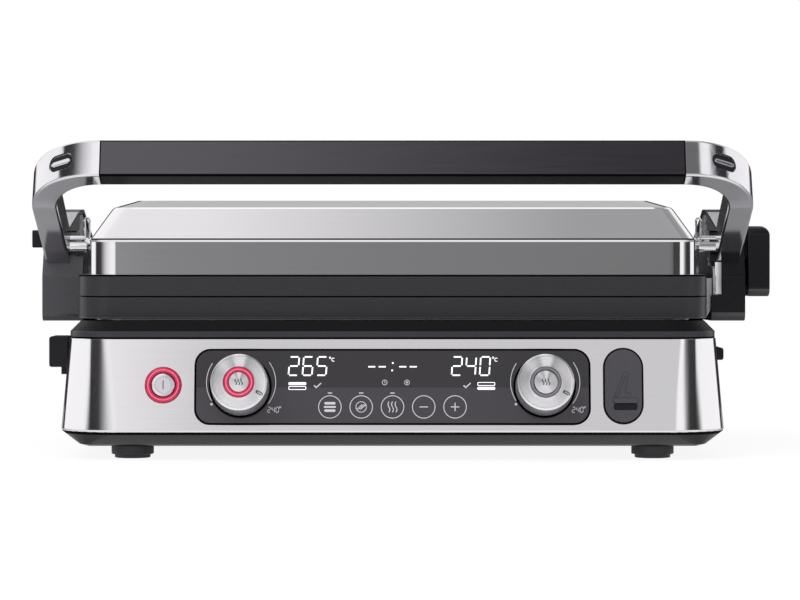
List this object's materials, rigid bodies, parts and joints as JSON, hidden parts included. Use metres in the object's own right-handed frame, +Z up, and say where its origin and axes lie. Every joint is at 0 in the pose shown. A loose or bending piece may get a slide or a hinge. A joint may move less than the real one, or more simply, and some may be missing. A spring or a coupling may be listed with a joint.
{
  "type": "contact grill",
  "caption": "Electric contact grill with a hinged floating lid, U-shaped handle frame, ribbed plates, dials and a glass control panel.",
  "frame": {"origin": "on the surface the grill stands on, under the middle of its outer box", "axes": "+X to the grill's right as seen from the control panel, +Y to the back, +Z up"},
  "size_m": [0.4624, 0.354, 0.1896],
  "materials": {
    "brushed_steel": "fine vertical brushed grain",
    "deck_black": "satin moulded",
    "cast_plate": "dark non-stick coating on a casting",
    "panel_glass": "smooth dark panel glass",
    "handle_bar": "dark brushed, satin",
    "cast_chrome": "satin plated casting",
    "cover_black": "satin moulded",
    "inner_steel": "plain pressed steel",
    "fasteners": "zinc plated",
    "heater_tube": "heat-tinted tube",
    "sensor": "machined",
    "boards": "circuit boards with parts",
    "switch_body": "moulded",
    "knob_metal": "turned and spun",
    "power_cap": "plated cap",
    "red_ring": "translucent lit ring",
    "grey_ring": "smooth",
    "rubber": "moulded"
  },
  "bodies": {
    "base": {"bottom_pan": "deck_black", "steel_shell": "brushed_steel", "top_deck": "deck_black", "heat_shield": "inner_steel", "heating_element_lower": "heater_tube", "lower_plate": "cast_plate", "temperature_sensor_lower": "sensor", "control_glass": "panel_glass", "control_frame": "cover_black", "display_module": "boards", "control_board": "boards", "encoder_left": "boards", "encoder_right": "boards", "power_ring": "red_ring", "power_switch": "switch_body", "power_board": "boards", "probe_socket": "switch_body", "tray_rails": "inner_steel", "foot_front_left": "rubber", "foot_front_right": "rubber", "foot_rear_left": "rubber", "foot_rear_right": "rubber", "pan_screws": "fasteners", "cord_gland": "cover_black", "hinge_post_left": "cover_black", "hinge_post_right": "cover_black", "hinge_pin_left": "inner_steel", "hinge_pin_right": "inner_steel"},
    "handle_frame": {"handle_bar": "handle_bar", "handle_end_left": "cast_chrome", "handle_end_right": "cast_chrome", "hinge_arm_left": "inner_steel", "hinge_arm_right": "inner_steel", "arm_cover_left": "cover_black", "arm_cover_right": "cover_black", "arm_screws": "fasteners", "handle_screws": "cast_chrome", "float_spring_left": "fasteners", "float_spring_right": "fasteners"},
    "lid": {"lid_shell": "brushed_steel", "lid_frame": "inner_steel", "pivot_shaft_left": "cast_chrome", "pivot_shaft_right": "cast_chrome", "upper_plate": "cast_plate", "heating_element_upper": "heater_tube", "temperature_sensor_upper": "sensor", "lid_screws": "fasteners"},
    "dial_left": {"knob_left": "knob_metal", "knob_ring_left": "red_ring"},
    "dial_right": {"knob_right": "knob_metal", "knob_ring_right": "grey_ring"},
    "select_left": {"select_button_left": "knob_metal"},
    "select_right": {"select_button_right": "knob_metal"},
    "power": {"power_button": "power_cap"},
    "probe_flap": {"probe_cover": "rubber"},
    "lever": {"height_lever": "cover_black"},
    "hinge_release": {"hinge_release_button": "cover_black"},
    "lower_release": {"lower_release_button": "cover_black"},
    "upper_release": {"upper_release_button": "cover_black"},
    "tray": {"drip_tray": "cover_black"}
  },
  "joints": [
    {"name": "lid_hinge", "type": "hinge", "parent": "base", "child": "handle_frame", "pos_m": [-0.00485, 0.14899, 0.0959], "axis": [-1, 0, 0], "range_deg": [0, 180]},
    {"name": "lid_float", "type": "slide", "parent": "handle_frame", "child": "lid", "axis": [0, 0, 1], "range_m": [0, 0.012], "stiffness_N_per_m": 2500, "springref_m": -0.02, "deforming": ["float_spring_left", "float_spring_right"]},
    {"name": "knob_left_turn", "type": "hinge", "parent": "base", "child": "dial_left", "pos_m": [-0.09485, -0.15323, 0.0434], "axis": [0, -0.9847, 0.1745], "range_deg": [0, 235]},
    {"name": "knob_right_turn", "type": "hinge", "parent": "base", "child": "dial_right", "pos_m": [0.08515, -0.15323, 0.0434], "axis": [0, -0.9847, 0.1745], "range_deg": [0, 235]},
    {"name": "select_left_press", "type": "slide", "parent": "base", "child": "select_left", "axis": [0, 0.9847, -0.1745], "range_m": [0, 0.0015], "stiffness_N_per_m": 400, "springref_m": -0.002},
    {"name": "select_right_press", "type": "slide", "parent": "base", "child": "select_right", "axis": [0, 0.9847, -0.1745], "range_m": [0, 0.0015], "stiffness_N_per_m": 400, "springref_m": -0.002},
    {"name": "power_press", "type": "slide", "parent": "base", "child": "power", "axis": [0, 0.9847, -0.1745], "range_m": [0, 0.0015], "stiffness_N_per_m": 400, "springref_m": -0.002},
    {"name": "probe_cover_flap", "type": "hinge", "parent": "base", "child": "probe_flap", "pos_m": [0.13175, -0.15019, 0.06623], "axis": [-1, 0, 0], "range_deg": [0, 110]},
    {"name": "height_lever_turn", "type": "hinge", "parent": "handle_frame", "child": "lever", "pos_m": [0.21715, -0.02101, 0.1104], "axis": [-1, 0, 0], "range_deg": [0, 50]},
    {"name": "hinge_release_press", "type": "slide", "parent": "handle_frame", "child": "hinge_release", "axis": [1, 0, 0], "range_m": [0, 0.0022], "stiffness_N_per_m": 400, "springref_m": -0.002},
    {"name": "lower_release_press", "type": "slide", "parent": "base", "child": "lower_release", "axis": [1, 0, 0], "range_m": [0, 0.0016], "stiffness_N_per_m": 600, "springref_m": -0.002},
    {"name": "upper_release_press", "type": "slide", "parent": "lid", "child": "upper_release", "axis": [1, 0, 0], "range_m": [0, 0.0022], "stiffness_N_per_m": 400, "springref_m": -0.002},
    {"name": "drip_tray_slide", "type": "slide", "parent": "base", "child": "tray", "axis": [1, 0, 0], "range_m": [0, 0.13]}
  ]
}
